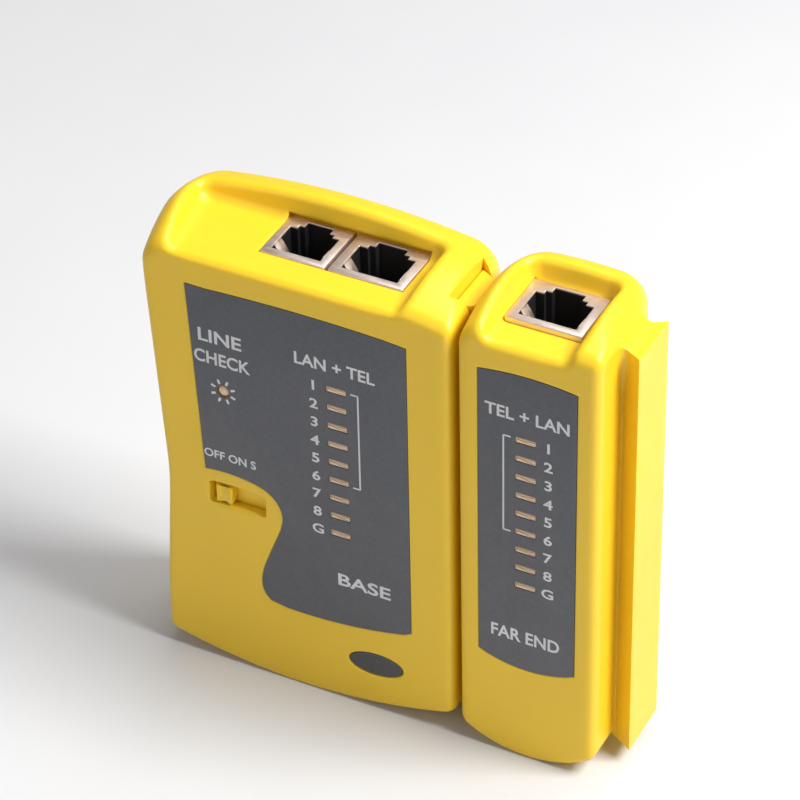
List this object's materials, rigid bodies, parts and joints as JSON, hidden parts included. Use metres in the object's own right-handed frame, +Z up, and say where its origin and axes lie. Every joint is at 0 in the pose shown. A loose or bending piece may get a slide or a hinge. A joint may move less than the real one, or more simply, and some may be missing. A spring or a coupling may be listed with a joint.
{
  "type": "network cable tester",
  "caption": "Hand-held tester for network and phone cables, with a main unit and a narrower remote unit that slides on along a dovetail rail.",
  "frame": {"origin": "on the surface the tester stands on, under the middle of the docked pair", "axes": "+X to the right seen from the front, +Y from front to back, +Z up"},
  "size_m": [0.1023, 0.028, 0.1045],
  "materials": {
    "yellow_shell": "satin moulded ABS",
    "label_film": "printed polyester film",
    "badge_blank": "dark recessed oval",
    "light_bar": "translucent tan light guide",
    "led_body": "moulded",
    "circuit_board": "solder mask",
    "screw_steel": "zinc plated",
    "switch_steel": "tinned",
    "black_plastic": "moulded",
    "resistor_body": "lacquered",
    "diode_glass": "glass bead",
    "capacitor_sleeve": "shrink sleeve",
    "battery_case": "printed metal jacket",
    "terminal_metal": "nickel plated",
    "black_vinyl": "soft vinyl",
    "red_lead": "PVC insulation",
    "black_lead": "PVC insulation",
    "foam": "closed cell foam",
    "jack_shield": "tin plated sheet",
    "contact_gold": "gold flash"
  },
  "bodies": {
    "main_unit": {"main_front_shell": "yellow_shell", "main_rear_cover": "yellow_shell", "main_label": "label_film", "main_badge": "badge_blank", "main_light_bars": "light_bar", "power_led": "light_bar", "main_status_leds": "led_body", "main_circuit_board": "circuit_board", "main_cover_screws": "screw_steel", "main_board_screws": "screw_steel", "slide_switch_frame": "switch_steel", "sequencer_chip": "black_plastic", "driver_chip": "black_plastic", "main_resistors": "resistor_body", "main_capacitor": "capacitor_sleeve", "battery": "battery_case", "battery_terminals": "terminal_metal", "battery_snap": "black_vinyl", "battery_lead_red": "red_lead", "battery_lead_black": "black_lead", "battery_foam_pad": "foam", "network_jack_shield": "jack_shield", "phone_jack_shield": "jack_shield", "network_jack_housing": "black_plastic", "phone_jack_housing": "black_plastic", "network_jack_contacts": "contact_gold", "phone_jack_contacts": "contact_gold"},
    "switch": {"switch_knob": "yellow_shell", "switch_lever": "black_plastic", "switch_shutter": "yellow_shell"},
    "door": {"battery_door": "yellow_shell"},
    "remote_unit": {"remote_front_shell": "yellow_shell", "remote_rear_cover": "yellow_shell", "remote_label": "label_film", "remote_light_bars": "light_bar", "remote_status_leds": "led_body", "remote_circuit_board": "circuit_board", "remote_cover_screws": "screw_steel", "remote_board_screws": "screw_steel", "remote_resistors": "resistor_body", "remote_diodes": "diode_glass", "remote_jack_shield": "jack_shield", "remote_jack_housing": "black_plastic", "remote_jack_contacts": "contact_gold"}
  },
  "joints": [
    {"name": "remote_slide", "type": "slide", "parent": "main_unit", "child": "remote_unit", "axis": [0, 0, 1], "range_m": [0, 0.098]},
    {"name": "switch_slide", "type": "slide", "parent": "main_unit", "child": "switch", "axis": [1, 0, 0], "range_m": [0, 0.0068]},
    {"name": "battery_door_slide", "type": "slide", "parent": "main_unit", "child": "door", "axis": [0, 0, -1], "range_m": [0, 0.058]}
  ]
}
